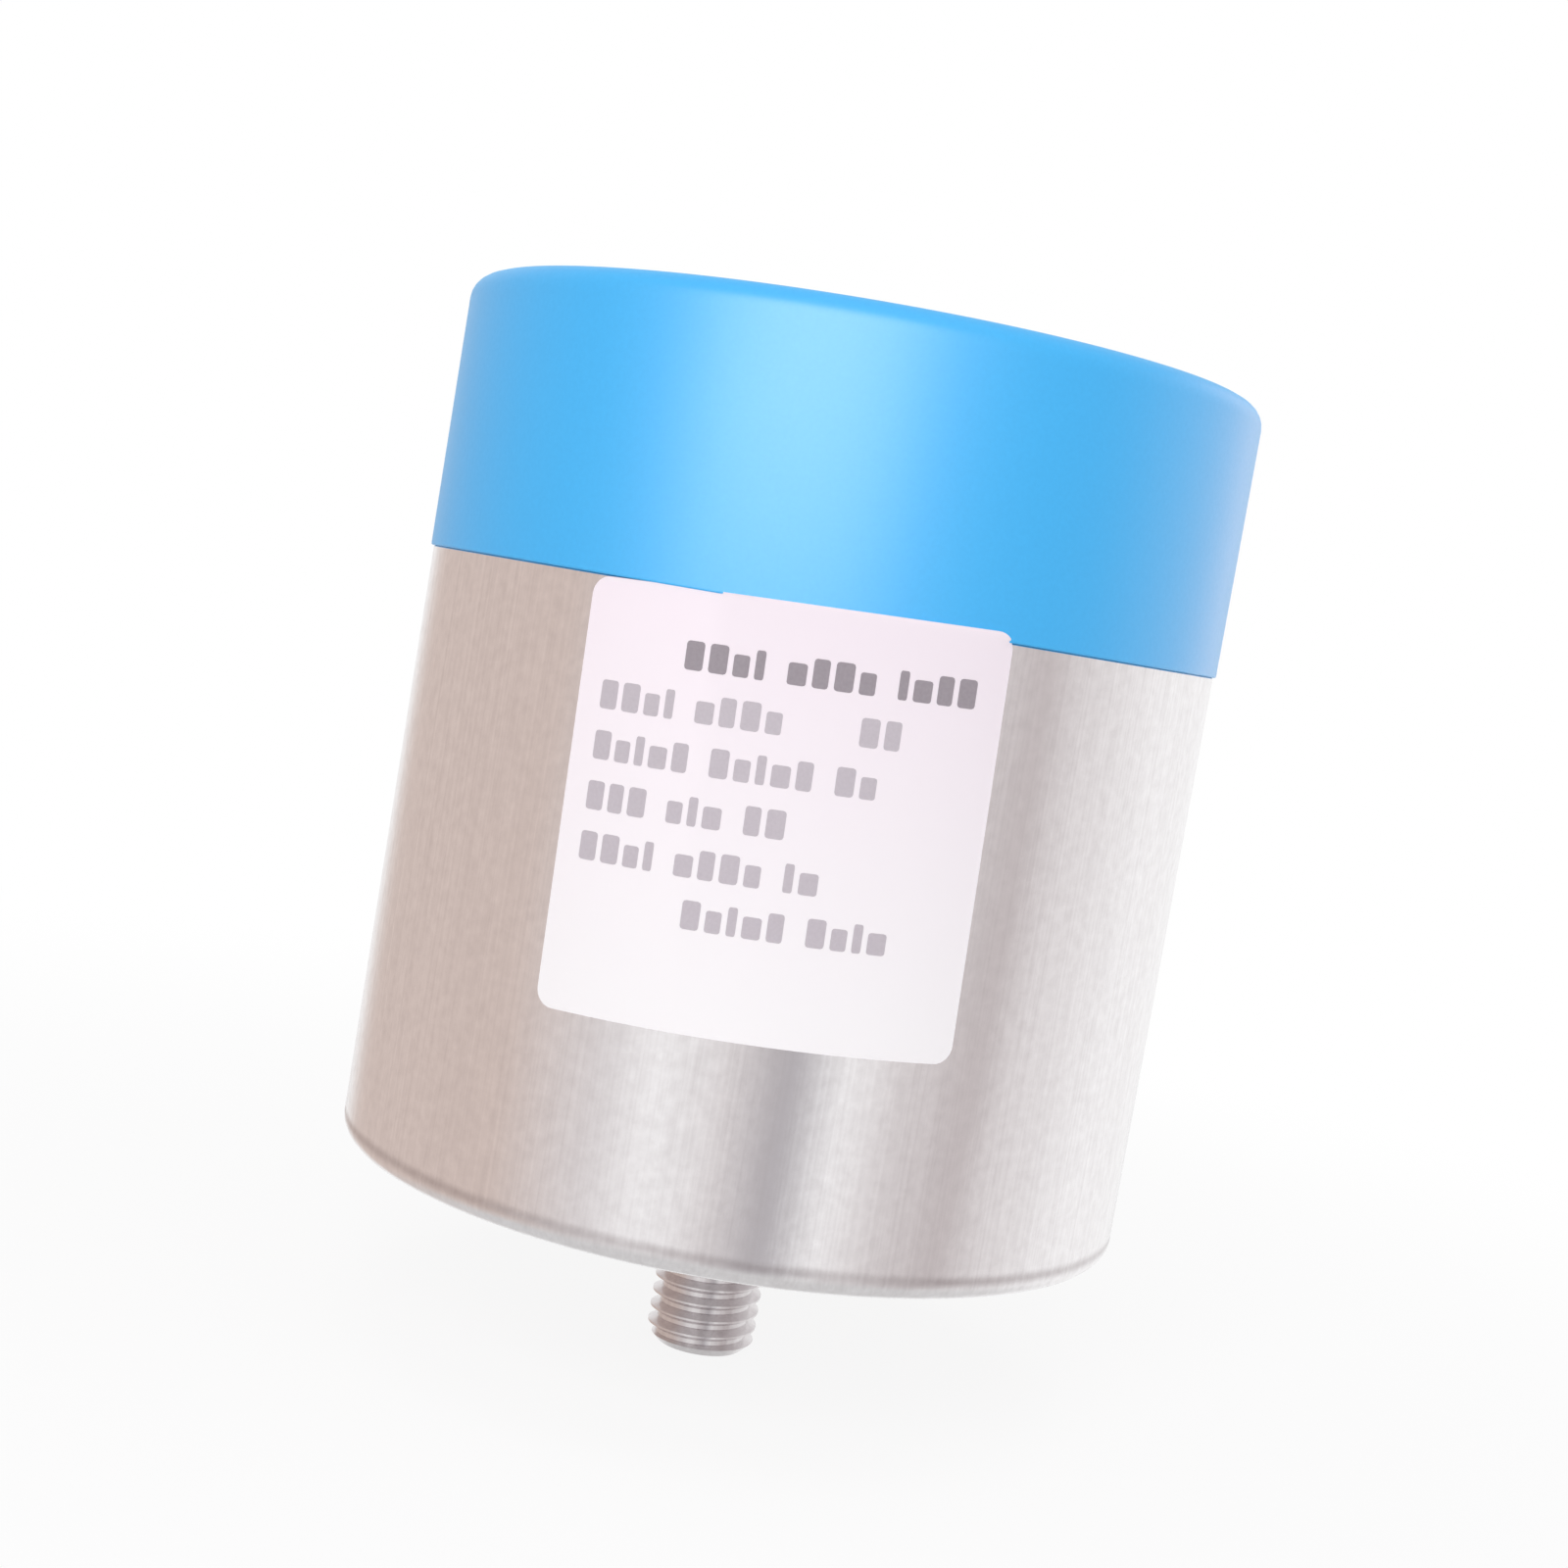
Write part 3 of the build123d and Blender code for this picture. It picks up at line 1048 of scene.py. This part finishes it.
    def pocket(self, place: Place, deck_low: float) -> Piece:
        """Return the tool for the hexagonal pocket under the deck.

        Args:
            place: the pocket's axis.
            deck_low: level of the deck's underside.
        """
        corner = self.pocket_across_flats / math.sqrt(3.0)
        low, high = deck_low - self.tool_margin, deck_low + self.deck
        stations = (Station(corner, low), Station(corner, high))
        return turn("pocket", stations, HEXAGON, place)


@dataclass
class Terminal:
    """One terminal with a female thread. Sizes in millimetres."""

    node: str
    neck_radius: float = 8.0
    neck_edge: float = 0.5
    hex_across_flats: float = 20.0
    hex_low: float = 85.1
    hex_high: float = 89.1
    body_radius: float = 7.0
    body_low: float = 77.057
    tenon_radius: float = 2.5
    head_radius: float = 3.8
    head_height: float = 0.8
    hole_radius: float = 3.4
    hole_depth: float = 14.0
    mouth_radius: float = 4.25
    drill_angle: float = 118.0
    drill_flat: float = 0.02
    blank_margin: float = 1.0
    segments: int = 96
    neck_steps: int = 3
    thread: Thread = Thread(crest=4.0, root=3.3, pitch=1.25, segments=48)

    def build(self) -> Piece:
        """Turn the terminal, mill its hexagon, drill and tap it, and return the piece."""
        low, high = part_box(self.node)
        place = axis_of(low, high)
        top, foot = high.z / MM, low.z / MM
        blank = self.hex_across_flats / math.sqrt(3.0) + self.blank_margin
        terminal = turn(
            self.node + "_tapped",
            (
                Station(self.head_radius, foot),
                Station(self.head_radius, foot + self.head_height),
                Station(self.tenon_radius, foot + self.head_height),
                Station(self.tenon_radius, self.body_low),
                Station(self.body_radius, self.body_low),
                Station(self.body_radius, self.hex_low),
                Station(blank, self.hex_low),
                Station(blank, self.hex_high),
                Station(self.neck_radius, self.hex_high),
                Station(self.neck_radius, top, self.neck_edge),
            ),
            self.segments,
            place,
            rounding_steps=self.neck_steps,
        )
        self.mill_hexagon(terminal, place)
        combine(terminal, self.drill(place, top), Cut.REMOVE)
        floor = top - self.hole_depth + 2.0 * self.thread.pitch
        tap = threaded_rod("tap", self.thread, floor, top + self.blank_margin, place)
        combine(terminal, tap, Cut.REMOVE)
        return hand_over(terminal, TIN_PLATE, [self.node])

    def mill_hexagon(self, terminal: Piece, place: Place) -> None:
        """Cut six flats on the terminal's flange.

        Args:
            terminal: the turned terminal.
            place: its axis.
        """
        for side in range(HEXAGON):
            angle = side * FULL_TURN / HEXAGON
            outwards = Vector((math.cos(angle), math.sin(angle), 0.0))
            middle = Vector((place[0], place[1], 0.0)) * MM
            slice_off(terminal, middle + outwards * 0.5 * self.hex_across_flats * MM, outwards)

    def drill(self, place: Place, top: float) -> Piece:
        """Return the tool for the drilled hole with its point and its countersunk mouth.

        Args:
            place: the hole's axis.
            top: level of the terminal's face.
        """
        floor = top - self.hole_depth
        half_angle = math.radians(0.5 * self.drill_angle)
        point = (1.0 - self.drill_flat) * self.hole_radius / math.tan(half_angle)
        sink = self.mouth_radius - self.hole_radius
        stations = (
            Station(self.drill_flat * self.hole_radius, floor - point),
            Station(self.hole_radius, floor),
            Station(self.hole_radius, top - sink),
            Station(self.mouth_radius + sink, top + sink),
        )
        return turn("drill", stations, self.thread.segments, place)


@dataclass
class FillPlug:
    """The plug in the hole through which the resin was poured. Sizes in millimetres."""

    shank_radius: float = 3.95
    shank_edge: float = 0.3
    head_radius: float = 6.0
    head_height: float = 1.2
    head_edge: float = 0.5
    gate_radius: float = 1.1
    gate_depth: float = 0.25
    gate_edge: float = 0.08
    segments: int = 96

    def build(self) -> Piece:
        """Turn the plug with the small dimple of its gate, and return the piece."""
        low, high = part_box("fill_plug")
        foot, top = low.z / MM, high.z / MM
        seat = top - self.head_height
        plug = turn(
            "fill_plug_head",
            (
                Station(self.shank_radius, foot, self.shank_edge),
                Station(self.shank_radius, seat),
                Station(self.head_radius, seat),
                Station(self.head_radius, top, self.head_edge),
                Station(self.gate_radius, top, self.gate_edge),
                Station(self.gate_radius, top - self.gate_depth),
            ),
            self.segments,
            axis_of(low, high),
        )
        return hand_over(plug, PLUG_PLASTIC, ["fill_plug"])


@dataclass(frozen=True)
class PrintRow:
    """One row of the label's plain print.

    Attributes:
        line: which line of the print it stands on, 0 at the top.
        start: left end of the row, from the label's middle.
        length: how long the row is.
        word: how many blocks stand together.
        bold: whether the row is printed heavier.
    """

    line: int
    start: float
    length: float
    word: int
    bold: bool = False


@dataclass
class RatingLabel:
    """The label and its print, which is plain blocks in rows. Sizes in millimetres."""

    width: float = 41.0
    height: float = 41.0
    corner: float = 1.8
    corner_steps: int = 8
    thickness: float = 0.15
    tilt: float = 1.6
    climb: float = 0.5
    skirt_edge: float = 0.2
    strips: int = 48
    block_width: float = 1.75
    block_height: float = 2.7
    block_corner: float = 0.3
    block_corner_steps: int = 2
    block_gap: float = 0.55
    word_gap: float = 1.6
    block_shares: tuple[Place, ...] = (
        (1.0, 1.0),
        (0.85, 0.76),
        (0.5, 1.0),
        (1.0, 0.76),
        (0.85, 1.0),
    )
    ink_sunk: float = 0.01
    ink_proud: float = 0.02
    top_row: float = 13.0
    row_pitch: float = 4.75
    rows: tuple[PrintRow, ...] = (
        PrintRow(0, -10.0, 28.0, 4, bold=True),
        PrintRow(1, -18.0, 18.0, 4),
        PrintRow(1, 7.0, 6.0, 3),
        PrintRow(2, -18.0, 28.0, 5),
        PrintRow(3, -18.0, 21.0, 3),
        PrintRow(4, -18.0, 24.0, 4),
        PrintRow(5, -7.0, 20.0, 5),
    )

    def build(self) -> list[Piece]:
        """Cut, wrap and print the label, and return its pieces."""
        low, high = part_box("label")
        can_radius, cap_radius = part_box("can")[1].x / MM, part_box("top_cap")[1].x / MM
        level = 0.5 * (low.z + high.z) / MM
        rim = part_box("can")[1].z / MM
        foot_of_step, top_of_step = rim - self.climb, rim + self.skirt_edge
        label = sheet("rating_label", self.width, self.height, self.corner, self.corner_steps)
        step = self.width / self.strips
        cuts = [index * step - 0.5 * self.width for index in range(1, self.strips)]
        divide(label, (1, 0, 0), cuts)
        self.tilt_flat(label)
        divide(label, (0, 0, 1), (foot_of_step - level, top_of_step - level))
        thicken(label, 0.0, self.thickness)
        wrap(label, can_radius, level)
        growth = (cap_radius + self.thickness) / (can_radius + self.thickness)
        self.climb_step(label, top_of_step, growth)
        hand_over(label, LABEL_FILM, ["label"])
        pieces = [label]
        for name, bold, finish in (
            ("print_rows", False, PRINT_INK),
            ("print_heading", True, BOLD_INK),
        ):
            blocks = self.print_blocks(name, bold)
            self.tilt_flat(blocks)
            wrap(blocks, can_radius, level)
            pieces.append(hand_over(blocks, finish))
        return pieces

    @staticmethod
    def climb_step(label: Piece, level: float, growth: float) -> None:
        """Let the label's top lie on the cap's skirt, a little further out than the can.

        Args:
            label: the wrapped label.
            level: where the skirt's wall begins.
            growth: how much larger the radius is there.
        """
        activate(label, edit=True)
        pick(label, Domain.VERTS, lambda vert: vert.co.z > level * MM - NEAR)
        bpy.ops.transform.resize(value=(growth, growth, 1.0), center_override=(0, 0, 0))
        bpy.ops.object.mode_set(mode="OBJECT")

    def tilt_flat(self, piece: Piece) -> None:
        """Turn a flat piece a little in its own plane, as the label was stuck on.

        Args:
            piece: the piece before it is wrapped.
        """
        activate(piece)
        piece.rotation_euler = (0.0, math.radians(-self.tilt), 0.0)
        settle()

    def print_blocks(self, name: str, bold: bool) -> Piece:
        """Print the rows of one weight as plain rounded blocks.

        Args:
            name: the new object's name.
            bold: which rows are printed.

        Returns:
            All blocks of that weight as one flat piece.
        """
        size = (self.block_width, self.block_height)
        block = sheet("block", *size, self.block_corner, self.block_corner_steps)
        divide(block, (1, 0, 0), (0.0,))
        thicken(block, self.thickness - self.ink_sunk, self.thickness + self.ink_proud)
        copies = []
        for row in self.rows:
            if row.bold != bold:
                continue
            left, index = row.start, 0
            level = self.top_row - row.line * self.row_pitch
            wide, tall = self.block_shares[0]
            while left + wide * self.block_width <= row.start + row.length:
                copies.append(self.stamp(block, left, level, wide, tall))
                left += wide * self.block_width + self.block_gap
                index += 1
                if index % row.word == 0:
                    left += self.word_gap
                wide, tall = self.block_shares[(index + row.word) % len(self.block_shares)]
        bpy.data.objects.remove(block)
        activate(copies[0])
        for copy in copies[1:]:
            copy.select_set(True)
        bpy.ops.object.join()
        copies[0].name = name
        return copies[0]

    def stamp(self, block: Piece, left: float, foot: float, wide: float, tall: float) -> Piece:
        """Copy the block to its place.

        Args:
            block: the block that is copied.
            left: the copy's left edge.
            foot: its foot.
            wide: its width, as a share of the block's.
            tall: its height, as a share of the block's.

        Returns:
            The copy, with a mesh of its own.
        """
        middle_x = left + 0.5 * wide * self.block_width
        middle_z = foot + 0.5 * tall * self.block_height
        middle = Vector((middle_x, 0.0, middle_z)) * MM
        copy = bpy.data.objects.new("block_copy", block.data.copy())
        bpy.context.collection.objects.link(copy)
        copy.data.transform(Matrix.Translation(middle) @ Matrix.Diagonal((wide, 1, tall, 1)))
        return copy


@dataclass
class Internals:
    """The hidden pieces, whose shapes stay as they are and get their real finishes."""

    finishes: tuple[tuple[str, Finish], ...] = (
        ("seal_ring", SEAL_RUBBER),
        ("winding", WOUND_FILM),
        ("winding_core", CORE_PLASTIC),
        ("winding_wrap", WRAP_FILM),
        ("contact_layer_lower", SPRAYED_ZINC),
        ("contact_layer_upper", SPRAYED_ZINC),
        ("lower_strip", TINNED_COPPER),
        ("upper_strip", TINNED_COPPER),
        ("strip_insulator", SLEEVE_FILM),
        ("solder_joints", SOLDER),
        ("base_insulator", INSULATING_BOARD),
        ("wall_insulator", INSULATING_BOARD),
        ("resin_fill", POTTING_RESIN),
    )

    def dress(self) -> None:
        """Give each hidden node its finish."""
        for node, finish in self.finishes:
            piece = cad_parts[node]
            for slot in piece.material_slots:
                slot.material = finish.material()
            log.info("%s: %s", node, finish.name)


# ---------------------------------------------------------------- studio


BACKDROP = "#FFFFFF"
WARM_WALL = "#D8C8C0"
PALE_WALL = "#E4E0E0"
GREY_WALL = "#C8C0C0"
SHADED_GAP = "#B0ACB0"


@dataclass(frozen=True)
class StudioBand:
    """One upright band of the studio's wall.

    Attributes:
        bearing: middle of the band in degrees, 0 behind the camera, growing towards +X.
        colour: its colour.
    """

    bearing: float
    colour: str


@dataclass(frozen=True)
class Lamp:
    """One square soft lamp that points at the object.

    Attributes:
        name: the lamp's name.
        bearing: degrees from the camera's side towards +X.
        elevation: degrees above the horizon.
        distance: how far away it hangs, in millimetres.
        size: length of its side, in millimetres.
        power: in watts.
    """

    name: str
    bearing: float
    elevation: float
    distance: float
    size: float
    power: float

    def hang(self, target: Vector) -> Piece:
        """Hang the lamp, unseen by the camera and in mirrors.

        Args:
            target: the point it faces, in metres.

        Returns:
            The lamp's object.
        """
        data = bpy.data.lights.new(self.name, "AREA")
        data.size = self.size * MM
        data.energy = self.power
        lamp = bpy.data.objects.new(self.name, data)
        bpy.context.collection.objects.link(lamp)
        across, lift = math.radians(self.bearing), math.radians(self.elevation)
        east, south = math.sin(across) * math.cos(lift), math.cos(across) * math.cos(lift)
        direction = Vector((east, -south, math.sin(lift)))
        lamp.location = target + direction * self.distance * MM
        lamp.rotation_euler = direction.to_track_quat("Z", "Y").to_euler()
        lamp.visible_camera = False
        lamp.visible_glossy = False
        return lamp


@dataclass
class Studio:
    """Floor, wall, lamps and camera. Sizes in millimetres, angles in degrees.

    The ceiling's and the floor's heights are sines of the angle above the horizon,
    between which the wall fades into them.
    """

    window_lights: tuple[Piece, ...] = ()
    room_lamps: tuple[Lamp, ...] = (
        Lamp("key", -10.0, 28.0, 900.0, 500.0, 3.35),
        Lamp("overhead", 20.0, 82.0, 900.0, 700.0, 1.6),
    )
    windows: tuple[Lamp, ...] = (
        Lamp("front_window", -12.0, 12.0, 700.0, 760.0, 13.5),
        Lamp("left_window", -120.0, 5.0, 700.0, 900.0, 0.9),
        Lamp("right_window", 118.0, 5.0, 700.0, 900.0, 4.2),
    )
    bands: tuple[StudioBand, ...] = (
        StudioBand(-180.0, BACKDROP),
        StudioBand(-160.0, BACKDROP),
        StudioBand(-140.0, WARM_WALL),
        StudioBand(-70.0, WARM_WALL),
        StudioBand(-40.0, PALE_WALL),
        StudioBand(-20.0, BACKDROP),  # window beside the camera
        StudioBand(0.0, PALE_WALL),
        StudioBand(15.0, SHADED_GAP),
        StudioBand(30.0, BACKDROP),  # second window
        StudioBand(45.0, PALE_WALL),
        StudioBand(70.0, GREY_WALL),
        StudioBand(80.0, PALE_WALL),
        StudioBand(120.0, BACKDROP),
        StudioBand(180.0, BACKDROP),
    )
    ceiling: str = "#F4F4F4"
    ceiling_heights: Place = (0.35, 0.85)
    window_colour: str = "#FFD8C4"
    floor_below: str = "#D8D8D8"
    floor_heights: Place = (-0.45, -0.85)
    wall_light: float = 0.6
    floor_colour: str = "#F4F3F4"
    floor_size: float = 6000.0
    shadow_reach: Place = (60.0, 260.0)
    shadow_share: float = 0.14
    focal_length: float = 54.378
    sensor: float = 36.0
    near_clip: float = 10.0
    camera_place: Size = (9.21, -258.83, 63.34)
    camera_pitch: float = -4.256
    camera_roll: float = 9.692
    camera_bearing: float = 2.27

    def build(self) -> None:
        """Set the colour handling and make the wall, the floor, the lamps and the camera."""
        bpy.context.scene.view_settings.view_transform = "Standard"
        self.wall()
        self.floor()
        self.lamps()
        self.camera()

    def wall(self) -> None:
        """Make the world: white to the camera, and bands of wall to all other rays."""
        world = bpy.data.worlds.new("studio")
        bpy.context.scene.world = world
        world.use_nodes = True
        tree = world.node_tree
        tree.nodes.clear()
        direction = add_node(tree, "ShaderNodeTexCoord").outputs["Generated"]
        parts = add_node(tree, "ShaderNodeSeparateXYZ", inputs={0: direction})
        reversed_depth = {0: parts.outputs[1], 1: -1.0}
        towards_camera = add_node(tree, "ShaderNodeMath", MULTIPLY, reversed_depth)
        sides = {0: parts.outputs[0], 1: towards_camera.outputs[0]}
        bearing = add_node(tree, "ShaderNodeMath", {"operation": "ARCTAN2"}, sides)
        turns = {0: bearing.outputs[0], 1: 1.0 / FULL_TURN, 2: 0.5}
        share = add_node(tree, "ShaderNodeMath", MULTIPLY_ADD, turns)
        ramp = add_node(tree, "ShaderNodeValToRGB", inputs={0: share.outputs[0]})
        stops = ramp.color_ramp.elements
        while len(stops) < len(self.bands):
            stops.new(1.0)
        for stop, band in zip(stops, self.bands):
            stop.position = 0.5 + band.bearing / 360.0
            stop.color = linear(band.colour)
        room = ramp.outputs[0]
        for tone, (start, end) in (
            (self.ceiling, self.ceiling_heights),
            (self.floor_below, self.floor_heights),
        ):
            span = {"Value": parts.outputs[2], "From Min": start, "From Max": end}
            blend = add_node(tree, "ShaderNodeMapRange", SMOOTH, span).outputs[0]
            mixed = {0: blend, 6: room, 7: linear(tone)}
            room = add_node(tree, "ShaderNodeMix", COLOURS, mixed).outputs[2]
        path = add_node(tree, "ShaderNodeLightPath")
        by_ray = {0: path.outputs["Is Camera Ray"], 6: room, 7: linear(BACKDROP)}
        colour = add_node(tree, "ShaderNodeMix", COLOURS, by_ray)
        dimmed = {"Value": path.outputs["Is Diffuse Ray"], "To Min": 1.0, "To Max": self.wall_light}
        strength = add_node(tree, "ShaderNodeMapRange", inputs=dimmed)
        light = {"Color": colour.outputs[2], "Strength": strength.outputs[0]}
        background = add_node(tree, "ShaderNodeBackground", inputs=light)
        add_node(tree, "ShaderNodeOutputWorld", inputs={"Surface": background.outputs[0]})

    def floor(self) -> None:
        """Lay the floor at the stud's end: white to the camera, with a soft shadow."""
        clear_selection()
        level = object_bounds()[0].z
        bpy.ops.mesh.primitive_plane_add(size=self.floor_size * MM, location=(0, 0, level))
        floor = bpy.context.object
        floor.name = "floor"
        settle()
        paint = bpy.data.materials.new("matt_white_floor_paint")
        paint.use_nodes = True
        tree = paint.node_tree
        tree.nodes.clear()
        place = add_node(tree, "ShaderNodeTexCoord").outputs["Object"]
        reach = add_node(tree, "ShaderNodeVectorMath", {"operation": "LENGTH"}, {0: place})
        near, far = self.shadow_reach
        fade = add_node(
            tree,
            "ShaderNodeMapRange",
            SMOOTH,
            {
                "Value": reach.outputs["Value"],
                "From Min": near * MM,
                "From Max": far * MM,
                "To Min": 1.0 - self.shadow_share,
                "To Max": 1.0,
            },
        )
        path = add_node(tree, "ShaderNodeLightPath")
        seen = path.outputs["Is Camera Ray"]
        for kind in ("Is Glossy Ray", "Is Transmission Ray"):
            rays = {0: seen, 1: path.outputs[kind]}
            seen = add_node(tree, "ShaderNodeMath", {**ADD, "use_clamp": True}, rays).outputs[0]
        share = add_node(tree, "ShaderNodeMath", MULTIPLY, {0: seen, 1: fade.outputs[0]})
        paint_colour = {"Color": linear(self.floor_colour)}
        matt = add_node(tree, "ShaderNodeBsdfDiffuse", inputs=paint_colour)
        white = add_node(tree, "ShaderNodeEmission", inputs={"Color": linear(BACKDROP)})
        surfaces = {0: share.outputs[0], 1: matt.outputs[0], 2: white.outputs[0]}
        mix = add_node(tree, "ShaderNodeMixShader", inputs=surfaces)
        add_node(tree, "ShaderNodeOutputMaterial", inputs={"Surface": mix.outputs[0]})
        floor.data.materials.append(paint)
        floor.visible_glossy = False
        floor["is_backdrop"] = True

    def lamps(self) -> None:
        """Hang the soft lamps."""
        middle = sum(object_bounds(), Vector()) * 0.5
        for lamp in self.room_lamps:
            lamp.hang(middle)
        shiny = bpy.data.collections.new("lit_by_windows")
        for piece in self.window_lights:
            shiny.objects.link(piece)
        for lamp in self.windows:
            window = lamp.hang(middle)
            window.data.color = linear(self.window_colour)[:3]
            window.visible_diffuse = False
            window.visible_glossy = True
            window.light_linking.receiver_collection = shiny

    def camera(self) -> None:
        """Place the camera."""
        data = bpy.data.cameras.new("camera")
        data.lens = self.focal_length
        data.sensor_width = self.sensor
        data.clip_start = self.near_clip * MM
        camera = bpy.data.objects.new("camera", data)
        bpy.context.collection.objects.link(camera)
        camera.matrix_world = (
            Matrix.Translation(Vector(self.camera_place) * MM)
            @ Matrix.Rotation(math.radians(self.camera_bearing), 4, "Z")
            @ Matrix.Rotation(math.radians(90.0 + self.camera_pitch), 4, "X")
            @ Matrix.Rotation(math.radians(self.camera_roll), 4, "Z")
        )
        bpy.context.scene.camera = camera


def main() -> None:
    """Build every sub-assembly in order."""
    logging.basicConfig(level=logging.INFO, format="%(name)s %(message)s")
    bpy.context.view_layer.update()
    CanWithStud().build()
    cap = TerminalCap().build()
    for node in ("terminal_left", "terminal_right"):
        Terminal(node).build()
    FillPlug().build()
    RatingLabel().build()
    Internals().dress()
    Studio(window_lights=(cap,)).build()


if __name__ == "__main__":
    main()
